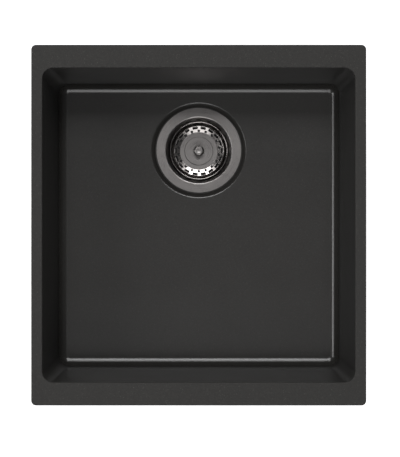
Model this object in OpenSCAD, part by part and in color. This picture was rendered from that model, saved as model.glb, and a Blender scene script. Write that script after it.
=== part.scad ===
// Single-bowl undermount kitchen sink cast in black granite composite, with its basket strainer waste.
// Origin: centre of the rim's top face. +Z is up, +Y points to the rear, where the outlet is. Millimetres.

/* [Rim] */
// Overall width of the rim, left to right
rim_w = 418; // [340:1:600]
// Overall length of the rim, front to back
rim_l = 450; // [400:1:620]
// Width of the rim's left and right strips
rim_side = 14; // [12:0.5:60]
// Width of the rim's front and rear strips
rim_end = 29; // [28:0.5:80]
// Thickness of the rim
rim_t = 12; // [10:0.5:16]
// Radius of the rim's outer corners, seen from above
rim_corner_r = 6; // [4:0.5:14]
// Radius of the rim's upper outer edge
rim_edge_r = 1.5; // [0.8:0.1:2.5]
// Height of the insert bosses and ribs under the rim
rim_boss_h = 7; // [5:0.5:12]
// Thickness of each rib under the rim
rim_rib_t = 6; // [4:0.5:10]
// Distance between neighbouring ribs
rim_rib_pitch = 60; // [40:1:70]

/* [Bowl] */
// Depth from the rim's top to the floor
bowl_depth = 190; // [150:1:230]
// How far each wall leans in from rim to floor
wall_lean = 9.5; // [4:0.5:16]
// Radius of the bowl's upright corners
bowl_corner_r = 13.5; // [12:0.5:30]
// Radius between walls and floor
floor_fillet_r = 10.5; // [6:0.5:11.5]
// Rounding of the opening's edge
opening_edge = 2; // [1:0.1:3]
// Thickness of the walls
wall_t = 8; // [6:0.5:9]
// Thickness of the floor
floor_t = 9; // [7:0.5:14]

/* [Outlet in the floor] */
// Distance from the rear edge of the opening to the outlet's centre
outlet_back = 96; // [92:1:196]
// Gap between the cup's mouth and the hole through the floor
outlet_hole_gap = 0.6; // [0.3:0.1:1.5]
// Gap round the flange on the recess's flat seat
recess_gap = 2; // [1:0.1:3]
// How far the recess widens from its seat to the floor
recess_flare = 4.5; // [2:0.1:7]
// Depth of the recess
recess_depth = 4; // [3:0.1:6]
// How far the thickened boss under the floor stands outside the waste body's flange
outlet_boss_w = 3; // [1:0.5:8]
// How far the boss stands below the floor's underside
outlet_boss_h = 7; // [3:0.5:12]

/* [Strainer cup] */
// Diameter of the mouth, where the flange turns down
mouth_d = 88.8; // [84:0.1:96]
// Width of the steel flange round the mouth
flange_w = 12.1; // [9:0.1:15]
// Radius of the turn from the flange into the cup
mouth_bend_r = 2.4; // [1.6:0.1:3]
// How far the cup's wall leans in from mouth to base
cup_draft = 2; // [0.5:0.1:3]
// Depth from the flange's top to the seat of the stopper
cup_depth = 34.8; // [34:0.1:40]
// Radius of the bend between the cup's wall and its base
cup_bend_r = 7; // [1.5:0.1:7.5]
// Diameter of the perforated sump in the cup's base
sump_d = 46; // [40:0.5:50]
// Depth of the sump below the seat
sump_depth = 7; // [6.6:0.1:9]
// Thickness of the cup's steel
cup_sheet_t = 1.2; // [0.8:0.1:1.3]
// Radius of the outer drain holes
sump_hole_r = 2.6; // [1.5:0.1:3]
// Number of outer drain holes
sump_holes = 12; // [6:1:14]

/* [Basket] */
// Gap between the basket's rim and the narrow end of the cup's wall
basket_gap = 1; // [0.5:0.1:3]
// Height of the basket's shell
basket_h = 21; // [19:0.5:24]
// Width of the basket's rim outside the slotted slope
basket_lip_w = 3; // [2.5:0.1:5]
// Height of the slotted slope
basket_slope_h = 4.2; // [3:0.1:6]
// How far the slotted slope reaches inwards
basket_slope_w = 11; // [10:0.1:13]
// Diameter of the raised disc in the basket's floor
basket_disc_d = 37.4; // [30:0.2:42]
// Height of the raised disc
basket_disc_h = 1; // [0.6:0.1:1.4]
// Thickness of the basket's steel
basket_sheet_t = 0.9; // [0.7:0.1:1.1]
// Number of slots in each row
slots = 18; // [10:1:18]
// Width of an upper slot
upper_slot_w = 7.8; // [4:0.1:8.2]
// Width of a lower slot
lower_slot_w = 4.2; // [3:0.1:6]
// Length of an upper slot along the slope
upper_slot_len = 4.1; // [3:0.1:4.6]
// Length of a lower slot along the slope
lower_slot_len = 3.3; // [2.5:0.1:3.8]

/* [Knob and stopper] */
// Diameter of the knob's head
knob_d = 12.8; // [11:0.1:16]
// Height of the knob above the basket's floor
knob_h = 17; // [14:0.5:18]
// Diameter of the knob's stem
stem_d = 10; // [9.6:0.1:11]
// Distance from the stopper seal's edge to the bend in the cup
seal_inset = 1; // [0.5:0.1:4]
// Thickness of the seal
seal_t = 3; // [2:0.1:4]
// Gap between the seal and its seat when the basket is down
seal_gap = 0.3; // [0.2:0.05:0.5]
// Diameter of the plate that holds the seal
retainer_d = 28; // [20:0.5:34]
// Thickness of the plate that holds the seal
retainer_t = 1; // [0.8:0.1:1.4]
// Thickness of the clip on the stem
stem_clip_t = 0.7; // [0.5:0.1:0.9]

/* [Centre screw] */
// Thread diameter of the screw that clamps cup and waste body
centre_screw_d = 6; // [5:0.1:6]
// Diameter of the screw's head
centre_head_d = 12; // [10:0.5:14]
// Thickness of the screw's head
centre_head_t = 2.6; // [2:0.1:2.8]
// Thickness of the washer under the head
centre_washer_t = 1; // [0.6:0.1:1.2]
// Height of the grip post above the stopper's seat
post_h = 9; // [7:0.5:10]

/* [Waste body] */
// Thickness of the gasket under the flange
flange_gasket_t = 1.6; // [1:0.1:2.2]
// Thickness of the gasket under the outlet boss
outlet_gasket_t = 2; // [1:0.1:4]
// Width of the waste body's top flange, outside its wall
body_flange_w = 8; // [4:0.5:9]
// Thickness of the waste body's top flange
body_flange_t = 5; // [4:0.5:7]
// How far the waste body's chamber is wider than its mouth, on each side
chamber_ledge = 2; // [1:0.1:4]
// Height of the chamber's upright wall below the boss
chamber_h = 32; // [30:0.5:40]
// Height of the funnel below the chamber
funnel_h = 22; // [18:0.5:30]
// Wall thickness of the waste body
body_t = 3; // [2.4:0.1:4]
// Inner diameter of the outlet, which takes a 40 mm pipe
outlet_bore_d = 40.6; // [40.2:0.1:41]
// Outer diameter of the outlet's thread
outlet_thread_d = 47.8; // [46:0.1:48]
// Length of the outlet below the funnel
outlet_len = 26; // [22:0.5:36]
// Diameter of the hub that takes the centre screw
hub_d = 17; // [15:0.5:20]
// Height of the hub's lower end above the outlet
hub_rise = 4; // [3:0.5:8]
// Gap between the cup's underside and the hub
hub_gap = 1.8; // [1:0.1:3]
// Thickness of each hub arm and outer fin
fin_t = 2.6; // [2:0.1:4]
// Number of outer fins
fins = 8; // [4:1:12]

/* [Coupling nut] */
// Outer diameter of the coupling nut, without its grips
coupling_d = 57; // [54:0.5:62]
// Length of the coupling nut
coupling_len = 29; // [26:0.5:34]
// Length of outlet thread inside the nut
coupling_grip = 15; // [10:0.5:16]
// Number of finger grips on the nut
coupling_grips = 12; // [6:1:18]
// Inner diameter of the cone washer
cone_bore_d = 41.2; // [41:0.1:41.6]

/* [Support arms] */
// Distance from the rim's left or right edge to an arm's pivot
arm_inset = 59; // [40:1:66]
// Width of an arm
arm_w = 15; // [12:0.5:15]
// Thickness of an arm
arm_t = 2.5; // [2:0.1:4]
// Length from the pivot to the middle of the slot
arm_reach = 36; // [30:0.5:50]
// Length from the pivot to the arm's tail
arm_tail = 9.5; // [8.5:0.1:9.8]
// Gap between the tail and the bowl's wall when the arm is out
arm_stop_gap = 0.6; // [0.4:0.05:0.8]
// Width of the arm's slot
arm_slot_w = 5.5; // [4.5:0.1:6.5]
// Overall length of the arm's slot
arm_slot_len = 14; // [10:0.5:18]
// Thread diameter of the arm's screw
arm_screw_d = 6; // [5:0.1:6]
// Outer diameter of the brass insert
insert_d = 8; // [7.6:0.1:9]
// Length of the brass insert
insert_len = 11; // [8:0.5:12]

/* [Hidden] */
$fn = 64;
// Clearance of a screw in its hole
screw_gap = 0.3;
// Clearance of a glued or pressed piece in its hole
bond_gap = 0.05;
// Clearance of an arm on its pivot
pivot_gap = 0.08;
// Clearance between faces that slide
slide_gap = 0.15;
// How far a cutting shape runs past the face it cuts
over = 1;
// Steps in a rounded edge, and $fn inside a hull
edge_steps = 3;
fillet_steps = 8;
hull_fn = 48;

// Places in plan, from the rim's outline
opening_w = rim_w - 2 * rim_side;
opening_l = rim_l - 2 * rim_end;
outlet_y = opening_l / 2 - outlet_back;
arm_x = rim_w / 2 - arm_inset;

// Levels, from the rim's top face down
rim_under_z = -rim_t;
boss_z = rim_under_z - rim_boss_h;
floor_z = -bowl_depth;
seat_z = floor_z - recess_depth;
outlet_under_z = floor_z - floor_t - outlet_boss_h;
flange_top_z = seat_z + flange_gasket_t + cup_sheet_t;
cup_seat_z = flange_top_z - cup_depth;
sump_z = cup_seat_z - sump_depth;
centre_washer_z = sump_z + centre_washer_t;
centre_head_z = centre_washer_z + centre_head_t;
seal_z = cup_seat_z + seal_gap;
basket_z = seal_z + seal_t;
basket_rim_z = basket_z + basket_h;
retainer_z = seal_z - retainer_t;
stem_clip_z = retainer_z - stem_clip_t;
stem_lip = 0.8;
stem_end_z = stem_clip_z - stem_lip;
basket_disc_z = basket_z + basket_sheet_t + basket_disc_h;
knob_z = basket_disc_z + knob_h;
post_z = cup_seat_z + post_h;
body_top_z = outlet_under_z - outlet_gasket_t;
chamber_z = outlet_under_z - chamber_h;
funnel_z = chamber_z - funnel_h;
outlet_end_z = funnel_z - outlet_len;
hub_z = funnel_z + hub_rise;
hub_h = sump_z - cup_sheet_t - hub_gap - hub_z;
coupling_top_z = outlet_end_z + coupling_grip;
coupling_end_z = coupling_top_z - coupling_len;

// Sizes that follow from the fit of one piece in another
outlet_gap = 0.2;
fin_stand = 1;
screw_hole_r = centre_screw_d / 2 + screw_gap;
stem_hole_r = stem_d / 2 + bond_gap;
stem_bore_r = centre_screw_d / 2 + screw_gap;
clip_groove_depth = 0.6;
clip_groove_r = stem_d / 2 - clip_groove_depth;
clip_band = 2.2;
clip_mouth = 4.8;
insert_hole_r = insert_d / 2 + bond_gap;
gasket_back = 1;
flange_d = mouth_d + 2 * flange_w;
cup_top_d = mouth_d - 2 * mouth_bend_r;
cup_low_d = cup_top_d - 2 * cup_draft;
recess_seat_d = flange_d + 2 * recess_gap;
recess_d = recess_seat_d + 2 * recess_flare;
outlet_hole_d = mouth_d + 2 * outlet_hole_gap;
gasket_hole_d = outlet_hole_d + 2 * gasket_back;
basket_d = cup_low_d - 2 * basket_gap;
basket_shoulder_d = basket_d - 2 * basket_lip_w;
basket_floor_d = basket_shoulder_d - 2 * basket_slope_w;
seal_d = cup_low_d - 2 * (cup_bend_r + seal_inset);
chamber_d = gasket_hole_d + 2 * chamber_ledge;
body_flange_d = chamber_d + 2 * (body_t + body_flange_w);
outlet_boss_d = body_flange_d + 2 * outlet_boss_w;
arm_screw_r = arm_screw_d / 2 - bond_gap;
arm_hole_r = arm_screw_r + pivot_gap;
arm_top_z = boss_z - slide_gap;
arm_under_z = arm_top_z - arm_t;
arm_washer_t = 1.6;
arm_washer_r = 6.4;
arm_washer_top_z = arm_under_z - slide_gap;
arm_head_z = arm_washer_top_z - arm_washer_t;
arm_head_t = 4;
arm_head_r = 5.8;
coupling_lip_t = 3;
coupling_edge = 2;
coupling_grip_w = 4.4;
coupling_grip_end = 2.5;
coupling_seat_z = coupling_end_z + coupling_lip_t;
cone_top_z = outlet_end_z - outlet_gap;
cone_taper = 1.6;
clamp_nut_t = 5;
clamp_nut_r = 5.77;
ring_wire_r = 0.55;
ring_reach = 0.15;
ring_groove_h = 2.4 * ring_wire_r;
ring_z = basket_disc_z + 0.3;
ring_r = stem_bore_r + ring_wire_r - ring_reach;
post_groove = 0.4;
post_tip = 1;
boss_wall = 4;
rib_inset = 5;
rib_step = 0.8;
sump_edge = 1;
bead_r = 1;
bead_lip = 0.6;
slope_bend = 0.6;
// Distance from the slope's foot to the lower slots, and from these to the upper slots
slot_foot = 0.6;
slot_web = 0.6;
knob_head_h = 5;
knob_edge_r = 2;
knob_foot = 0.8;
seal_edge = 1;

// Where the outer face of the front and rear walls lies at a level
function wall_out_y(z) = opening_l / 2 + z * wall_lean / bowl_depth + wall_t;
arm_y = wall_out_y(arm_under_z) + arm_tail + arm_stop_gap;

// Points on an arc in the plane of a profile, from angle a0 to a1
function arc_points(centre, r, a0, a1, steps) =
    [for (i = [0 : steps]) let (a = a0 + (a1 - a0) * i / steps) centre + r * [cos(a), sin(a)]];

// A sheet of even thickness: the line of its upper face, and the same line moved to its left
function unit(v) = v / norm(v);
function left_of(v) = [-v[1], v[0]];
function mitre(a, b, c, t) =
    let (n1 = left_of(unit(b - a)), n2 = left_of(unit(c - b)), m = unit(n1 + n2)) b + m * t / (m * n1);
function moved_line(p, t) = let (n = len(p) - 1) [for (i = [0 : n])
    i == 0 ? p[0] + left_of(unit(p[1] - p[0])) * t
    : i == n ? p[n] + left_of(unit(p[n] - p[n - 1])) * t
    : mitre(p[i - 1], p[i], p[i + 1], t)];
function sheet(p, t) = let (q = moved_line(p, t)) concat(p, [for (i = [len(q) - 1 : -1 : 0]) q[i]]);

module at_outlet() {
    translate([0, outlet_y, 0]) children();
}

module at_corners(w, l) {
    for (sx = [-1, 1], sy = [-1, 1]) translate([sx * w / 2, sy * l / 2, 0]) children();
}

module ring(outer_r, inner_r, z, t) {
    translate([0, 0, z]) difference() {
        cylinder(r = outer_r, h = t);
        translate([0, 0, -over]) cylinder(r = inner_r, h = t + 2 * over);
    }
}

// A disc whose upper edge is rounded
module soft_disc(r, h, edge) {
    edge_arc = arc_points([r - edge, h - edge], edge, 0, 90, edge_steps);
    rotate_extrude($fn = hull_fn) polygon(concat([[0, h], [0, 0], [r, 0]], edge_arc));
}

// A disc whose lower edge is rounded, standing on z = 0
module puck(r, fillet) {
    fillet_arc = arc_points([r - fillet, fillet], fillet, -90, 0, fillet_steps);
    rotate_extrude($fn = hull_fn) polygon(concat([[0, fillet], [0, 0]], fillet_arc));
}

// The bowl's form: the hollow itself, or the hollow grown by its walls and floor
module bowl_form(grow, grow_floor) {
    corner_r = bowl_corner_r + grow;
    top_in = 2 * bowl_corner_r;
    floor_in = 2 * (bowl_corner_r + wall_lean);
    hull() {
        at_corners(opening_w - top_in, opening_l - top_in)
            translate([0, 0, grow > 0 ? -over : 0]) cylinder(r = corner_r, h = over, $fn = hull_fn);
        at_corners(opening_w - floor_in, opening_l - floor_in)
            translate([0, 0, floor_z - grow_floor]) puck(corner_r, floor_fillet_r + grow);
    }
}

// The opening's edge is eased in two steps: steep at the wall, then shallow at the rim's top
module opening_easing() {
    share = 0.3;
    easing_step(-opening_edge, 0, -share * opening_edge, share * opening_edge);
    easing_step(-share * opening_edge, share * opening_edge, 0, opening_edge);
}

module easing_step(z1, grow1, z2, grow2) {
    r1 = bowl_corner_r + grow1;
    r2 = bowl_corner_r + grow2;
    hull() at_corners(opening_w - 2 * bowl_corner_r, opening_l - 2 * bowl_corner_r) {
        translate([0, 0, z1]) cylinder(r1 = r1, r2 = r2, h = z2 - z1, $fn = hull_fn);
        translate([0, 0, z2]) cylinder(r = r2, h = over, $fn = hull_fn);
    }
}

module rim_slab() {
    hull() at_corners(rim_w - 2 * rim_corner_r, rim_l - 2 * rim_corner_r)
        translate([0, 0, rim_under_z]) soft_disc(rim_corner_r, rim_t, rim_edge_r);
}

module rim_bosses() {
    boss_r = insert_d / 2 + boss_wall;
    at_corners(2 * arm_x, 2 * arm_y) translate([0, 0, boss_z]) cylinder(r = boss_r, h = rim_boss_h + over);
}

module rim_ribs() {
    rib_drop = rim_boss_h - rib_step;
    rib_end = rim_l / 2 - rib_inset;
    rib_start = wall_out_y(rim_under_z - rib_drop) - wall_t / 2;
    for (sy = [-1, 1], i = [-1 : 1]) {
        x = i * rim_rib_pitch - rim_rib_t / 2;
        y = sy > 0 ? rib_start : -rib_end;
        translate([x, y, rim_under_z - rib_drop]) cube([rim_rib_t, rib_end - rib_start, rib_drop + over]);
    }
}

module bowl() {
    color("#393836") difference() {
        union() {
            rim_slab();
            bowl_form(wall_t, floor_t);
            rim_bosses();
            rim_ribs();
            at_outlet() translate([0, 0, outlet_under_z])
                cylinder(d = outlet_boss_d, h = outlet_boss_h + floor_t / 2);
        }
        bowl_form(0, 0);
        opening_easing();
        at_outlet() {
            translate([0, 0, outlet_under_z - over]) cylinder(d = outlet_hole_d, h = bowl_depth);
            translate([0, 0, seat_z]) cylinder(d1 = recess_seat_d, d2 = recess_d, h = recess_depth);
            translate([0, 0, floor_z]) cylinder(d = recess_d, h = over);
        }
        at_corners(2 * arm_x, 2 * arm_y)
            translate([0, 0, boss_z - over]) cylinder(r = insert_hole_r, h = insert_len + over);
    }
}

module rim_inserts() {
    color("goldenrod") at_corners(2 * arm_x, 2 * arm_y)
        ring(insert_d / 2, arm_screw_d / 2, boss_z, insert_len);
}

// An arm in the direction it lies when tucked under the rim: the free end along +X, the wall towards -Y
module arm() {
    half = arm_w / 2;
    end_x = arm_reach + arm_slot_len / 2 - arm_slot_w / 2;
    color("silver") translate([0, 0, arm_under_z]) difference() {
        union() {
            translate([0, -half, 0]) cube([end_x, arm_w, arm_t]);
            translate([end_x, 0, 0]) cylinder(r = half, h = arm_t);
            translate([-arm_tail, 0, 0]) cube([arm_tail, half, arm_t]);
            intersection() {
                cylinder(r = arm_tail, h = arm_t);
                translate([-arm_tail, -half, 0]) cube([arm_tail + 1, arm_w, arm_t]);
            }
        }
        translate([0, 0, -over]) cylinder(r = arm_hole_r, h = arm_t + 2 * over);
        translate([arm_reach, 0, -over]) arm_slot(arm_t + 2 * over);
    }
}

module arm_slot(h) {
    run = arm_slot_len - arm_slot_w;
    translate([-run / 2, -arm_slot_w / 2, 0]) cube([run, arm_slot_w, h]);
    for (s = [-1, 1]) translate([s * run / 2, 0, 0]) cylinder(d = arm_slot_w, h = h);
}

module arm_at(side, end) {
    translate([side * arm_x, end * arm_y, 0])
        mirror([side > 0 ? 1 : 0, 0, 0]) mirror([0, end > 0 ? 0 : 1, 0]) arm();
}

module arm_front_left() { arm_at(-1, -1); }
module arm_front_right() { arm_at(1, -1); }
module arm_rear_left() { arm_at(-1, 1); }
module arm_rear_right() { arm_at(1, 1); }

module arm_washers() {
    color("silver") at_corners(2 * arm_x, 2 * arm_y)
        ring(arm_washer_r, arm_screw_d / 2 + screw_gap, arm_head_z, arm_washer_t);
}

module arm_screws() {
    thread_len = boss_z - arm_head_z + 0.8 * insert_len;
    color("lightgray") at_corners(2 * arm_x, 2 * arm_y) {
        translate([0, 0, arm_head_z - arm_head_t]) cylinder(r = arm_head_r, h = arm_head_t, $fn = 6);
        translate([0, 0, arm_head_z - over]) cylinder(r = arm_screw_r, h = thread_len + over);
    }
}

// The wet face of the cup, from the flange's edge to the screw hole
function cup_line() =
    let (low = cup_low_d / 2)
    concat([[flange_d / 2, flange_top_z]],
        arc_points([mouth_d / 2, flange_top_z - mouth_bend_r], mouth_bend_r, 90, 180, 4),
        arc_points([low - cup_bend_r, cup_seat_z + cup_bend_r], cup_bend_r, 0, -90, 6),
        [[sump_d / 2 + sump_edge, cup_seat_z], [sump_d / 2, cup_seat_z - sump_edge],
        [sump_d / 2, sump_z + sump_edge], [sump_d / 2 - sump_edge, sump_z], [screw_hole_r, sump_z]]);

module strainer_cup() {
    inner_hole_r = 0.7 * sump_hole_r;
    outer_row_r = sump_d / 2 - 2 * sump_edge - sump_hole_r;
    inner_row_r = outer_row_r - sump_hole_r - sump_edge - inner_hole_r;
    color("dimgray") at_outlet() difference() {
        rotate_extrude() polygon(sheet(cup_line(), cup_sheet_t));
        sump_hole_row(sump_holes, outer_row_r, sump_hole_r, 0);
        sump_hole_row(floor(sump_holes / 2), inner_row_r, inner_hole_r, 0.5);
    }
}

module sump_hole_row(count, row_r, hole_r, turn) {
    for (i = [1 : count]) rotate(360 * (i + turn) / count)
        translate([row_r, 0, sump_z - cup_sheet_t - over])
            cylinder(r = hole_r, h = cup_sheet_t + 2 * over);
}

module flange_gasket() {
    color("#202020") at_outlet() ring(flange_d / 2 - gasket_back, gasket_hole_d / 2, seat_z, flange_gasket_t);
}

module outlet_gasket() {
    color("#202020") at_outlet()
        ring(body_flange_d / 2, gasket_hole_d / 2, body_top_z, outlet_gasket_t);
}

// The waste body's inside, grown by a wall: chamber, funnel and outlet
module body_form(grow) {
    r = chamber_d / 2 + grow;
    r_out = outlet_bore_d / 2 + grow;
    rotate_extrude() polygon([[0, body_top_z], [0, funnel_z - grow], [r_out, funnel_z - grow],
        [r_out, funnel_z], [r, chamber_z], [r, body_top_z]]);
}

// An outer fin from the top flange down the chamber and the funnel
module body_fin() {
    r = chamber_d / 2 + body_t;
    top_z = body_top_z - body_flange_t / 2;
    rotate([90, 0, 0]) translate([0, 0, -fin_t / 2]) linear_extrude(fin_t) polygon([
        [r - body_t / 2, top_z], [body_flange_d / 2 - fin_stand, top_z], [r + fin_stand, chamber_z],
        [outlet_thread_d / 2 + fin_stand, funnel_z], [outlet_thread_d / 2 - body_t, funnel_z],
        [r - body_t / 2, chamber_z]]);
}

module hub_arms() {
    intersection() {
        body_form(body_t / 2);
        union() for (i = [0 : 2]) rotate(120 * i + 90)
            translate([0, -fin_t / 2, hub_z]) cube([chamber_d, fin_t, hub_h - fin_t]);
    }
}

module waste_body() {
    color("#d8d8d4") at_outlet() difference() {
        union() {
            difference() {
                union() {
                    body_form(body_t);
                    ring(body_flange_d / 2, gasket_hole_d / 2, body_top_z - body_flange_t, body_flange_t);
                    for (i = [1 : fins]) rotate(360 * i / fins) body_fin();
                    translate([0, 0, outlet_end_z])
                        cylinder(d = outlet_thread_d, h = outlet_len + fin_stand);
                }
                body_form(0);
                translate([0, 0, body_top_z - over]) cylinder(d = chamber_d, h = 2 * over);
                translate([0, 0, outlet_end_z - over])
                    cylinder(d = outlet_bore_d, h = outlet_len + 2 * over);
            }
            translate([0, 0, hub_z]) cylinder(d = hub_d, h = hub_h);
            hub_arms();
        }
        translate([0, 0, hub_z - over]) {
            cylinder(r = screw_hole_r, h = hub_h + 2 * over);
            cylinder(r = clamp_nut_r + bond_gap, h = clamp_nut_t + over, $fn = 6);
        }
    }
}

module clamp_nut() {
    color("goldenrod") at_outlet() translate([0, 0, hub_z]) difference() {
        cylinder(r = clamp_nut_r, h = clamp_nut_t, $fn = 6);
        translate([0, 0, -over]) cylinder(d = centre_screw_d, h = clamp_nut_t + 2 * over);
    }
}

module centre_washer() {
    color("silver") at_outlet() ring(centre_head_d / 2 + 1, screw_hole_r, sump_z, centre_washer_t);
}

// The screw's head carries the post that the basket's stem slides over
module centre_screw() {
    shank_r = centre_screw_d / 2 - bond_gap;
    post_r = centre_screw_d / 2;
    tip_z = post_z - post_tip;
    color("silver") at_outlet() difference() {
        union() {
            translate([0, 0, hub_z]) cylinder(r = shank_r, h = centre_washer_z - hub_z + over);
            translate([0, 0, centre_washer_z]) cylinder(d = centre_head_d, h = centre_head_t);
            translate([0, 0, centre_head_z - over]) cylinder(r = post_r, h = tip_z - centre_head_z + over);
            translate([0, 0, tip_z]) cylinder(r1 = post_r, r2 = post_r - post_tip, h = post_tip);
        }
        ring(2 * post_r, post_r - post_groove, ring_z - ring_groove_h / 2, ring_groove_h);
    }
}

// The inner face of the basket, from its rolled rim to the stem's hole
function basket_line() =
    let (r = basket_d / 2, low = basket_floor_d / 2, floor_top = basket_z + basket_sheet_t,
        shoulder_r = basket_shoulder_d / 2, shoulder_z = basket_z + basket_slope_h,
        disc_r = basket_disc_d / 2)
    concat([[r, basket_rim_z - bead_r - bead_lip]],
        arc_points([r - bead_r, basket_rim_z - bead_r], bead_r, 0, 180, 4),
        [[shoulder_r + slope_bend, shoulder_z + 2 * slope_bend], [shoulder_r, shoulder_z],
        [low, floor_top], [disc_r + slope_bend, floor_top], [disc_r, basket_disc_z],
        [stem_hole_r, basket_disc_z]]);

module slot_row(start, length, width, turn) {
    rise = basket_slope_h - basket_sheet_t;
    cut_h = 4 * basket_sheet_t + 2 * over;
    for (i = [1 : slots]) rotate(360 * (i + turn) / slots)
        translate([basket_floor_d / 2, 0, basket_z + basket_sheet_t]) rotate([0, -atan2(rise, basket_slope_w), 0])
            translate([start + length / 2, 0, 0]) cube([length, width, cut_h], center = true);
}

module basket_shell() {
    color("gray") at_outlet() difference() {
        rotate_extrude() polygon(sheet(basket_line(), basket_sheet_t));
        rotate(90) slot_row(slot_foot + lower_slot_len + slot_web, upper_slot_len, upper_slot_w, 0.5);
        rotate(90) slot_row(slot_foot, lower_slot_len, lower_slot_w, 0);
    }
}

// The knob, its foot on the basket's floor and its hollow stem down through the seal
module basket_knob() {
    r = knob_d / 2;
    neck_r = stem_d / 2 - knob_foot / 2;
    head_z = knob_z - knob_head_h;
    foot_z = basket_disc_z + knob_foot;
    color("silver") at_outlet() difference() {
        rotate_extrude() polygon(concat([[0, knob_z], [0, stem_end_z], [stem_d / 2, stem_end_z],
            [stem_d / 2, stem_clip_z], [clip_groove_r, stem_clip_z], [clip_groove_r, retainer_z],
            [stem_d / 2, retainer_z], [stem_d / 2, basket_disc_z],
            [r + knob_foot, basket_disc_z], [r + knob_foot, foot_z], [neck_r, foot_z + 2 * knob_foot],
            [neck_r, head_z - knob_foot], [r, head_z + 2 * knob_foot]],
            arc_points([r - knob_edge_r, knob_z - knob_edge_r], knob_edge_r, 0, 90, 4)));
        translate([0, 0, stem_end_z - over]) cylinder(r = stem_bore_r, h = head_z - stem_end_z + over);
        translate([0, 0, ring_z - ring_groove_h / 2])
            cylinder(r = ring_r + ring_wire_r + bond_gap, h = ring_groove_h);
    }
}

module stopper_seal() {
    r = seal_d / 2;
    color("#202020") at_outlet() rotate_extrude() polygon([[stem_hole_r, seal_z], [r - seal_edge, seal_z],
        [r, seal_z + seal_edge], [r - seal_edge, basket_z], [stem_hole_r, basket_z]]);
}

module seal_retainer() {
    color("silver") at_outlet() ring(retainer_d / 2, stem_hole_r, retainer_z, retainer_t);
}

// A flat snap ring with an open side, under the retainer
module stem_clip() {
    color("silver") at_outlet() translate([0, 0, stem_clip_z]) difference() {
        cylinder(r = stem_d / 2 + clip_band, h = stem_clip_t);
        translate([0, 0, -over]) cylinder(r = clip_groove_r + bond_gap, h = stem_clip_t + 2 * over);
        translate([-clip_mouth / 2, 0, -over]) cube([clip_mouth, stem_d, stem_clip_t + 2 * over]);
    }
}

// The open wire ring in the stem that grips the post
module grip_ring() {
    color("silver") at_outlet() translate([0, 0, ring_z]) rotate(110)
        rotate_extrude(angle = 320) translate([ring_r, 0]) circle(r = ring_wire_r, $fn = 16);
}

module cone_washer() {
    r = outlet_thread_d / 2 - outlet_gap;
    bore_r = cone_bore_d / 2;
    color("#303030") at_outlet() rotate_extrude() polygon([[bore_r, cone_top_z], [bore_r, coupling_seat_z],
        [r - cone_taper, coupling_seat_z], [r, coupling_seat_z + 3 * cone_taper], [r, cone_top_z]]);
}

module coupling_nut() {
    r = coupling_d / 2;
    thread_r = outlet_thread_d / 2 + outlet_gap;
    grip_len = coupling_len - 2 * coupling_grip_end;
    color("#d8d8d4") at_outlet() translate([0, 0, coupling_end_z]) difference() {
        union() {
            cylinder(r1 = r - coupling_edge, r2 = r, h = coupling_edge);
            translate([0, 0, coupling_edge]) cylinder(r = r, h = coupling_len - coupling_edge);
            for (i = [1 : coupling_grips]) rotate(360 * i / coupling_grips)
                translate([r - coupling_edge, -coupling_grip_w / 2, coupling_grip_end])
                    cube([2 * coupling_edge, coupling_grip_w, grip_len]);
        }
        translate([0, 0, -over]) cylinder(r = cone_bore_d / 2 + 2 * outlet_gap, h = coupling_len);
        translate([0, 0, coupling_lip_t]) cylinder(r = thread_r, h = coupling_len);
    }
}

bowl();
rim_inserts();
arm_front_left();
arm_front_right();
arm_rear_left();
arm_rear_right();
arm_washers();
arm_screws();
strainer_cup();
flange_gasket();
outlet_gasket();
waste_body();
centre_screw();
centre_washer();
clamp_nut();
basket_shell();
basket_knob();
stopper_seal();
seal_retainer();
stem_clip();
grip_ring();
cone_washer();
coupling_nut();
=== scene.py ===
import math

import bmesh
import bpy
from bpy.props import FloatProperty, FloatVectorProperty, IntProperty, PointerProperty
from mathutils import Matrix, Vector


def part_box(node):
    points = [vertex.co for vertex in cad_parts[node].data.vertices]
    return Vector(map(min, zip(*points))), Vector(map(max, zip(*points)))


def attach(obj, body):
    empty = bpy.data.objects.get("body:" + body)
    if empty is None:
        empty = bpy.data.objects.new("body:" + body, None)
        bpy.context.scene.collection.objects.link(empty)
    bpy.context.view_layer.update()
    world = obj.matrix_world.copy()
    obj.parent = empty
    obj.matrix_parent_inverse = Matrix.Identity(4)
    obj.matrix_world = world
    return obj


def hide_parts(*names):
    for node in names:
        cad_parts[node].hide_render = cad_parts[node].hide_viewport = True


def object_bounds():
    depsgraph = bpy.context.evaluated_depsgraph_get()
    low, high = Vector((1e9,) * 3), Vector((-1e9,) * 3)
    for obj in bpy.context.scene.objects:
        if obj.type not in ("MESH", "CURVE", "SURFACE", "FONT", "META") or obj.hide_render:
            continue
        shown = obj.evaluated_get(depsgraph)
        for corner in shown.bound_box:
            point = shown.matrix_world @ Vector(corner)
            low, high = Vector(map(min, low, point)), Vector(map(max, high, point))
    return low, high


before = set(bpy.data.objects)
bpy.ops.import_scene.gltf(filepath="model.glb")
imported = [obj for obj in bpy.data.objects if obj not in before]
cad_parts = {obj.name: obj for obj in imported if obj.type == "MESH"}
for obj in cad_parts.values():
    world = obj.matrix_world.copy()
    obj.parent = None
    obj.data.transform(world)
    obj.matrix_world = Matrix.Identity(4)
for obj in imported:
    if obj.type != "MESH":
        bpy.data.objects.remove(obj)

bl_info = {
    "name": "Granite Composite Sink",
    "version": (1, 0, 0),
    "blender": (4, 5, 0),
    "location": "View3D > Sidebar > Sink",
    "description": "Dresses an undermount sink, its basket strainer and its waste fitting",
    "category": "Object",
}

CAD_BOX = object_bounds()


# The frame's own levels and centres, in metres

def low(node):
    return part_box(node)[0]


def high(node):
    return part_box(node)[1]


def middle(node):
    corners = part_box(node)
    return (corners[0] + corners[1]) / 2


def radius(node):
    return (high(node).x - low(node).x) / 2


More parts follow.
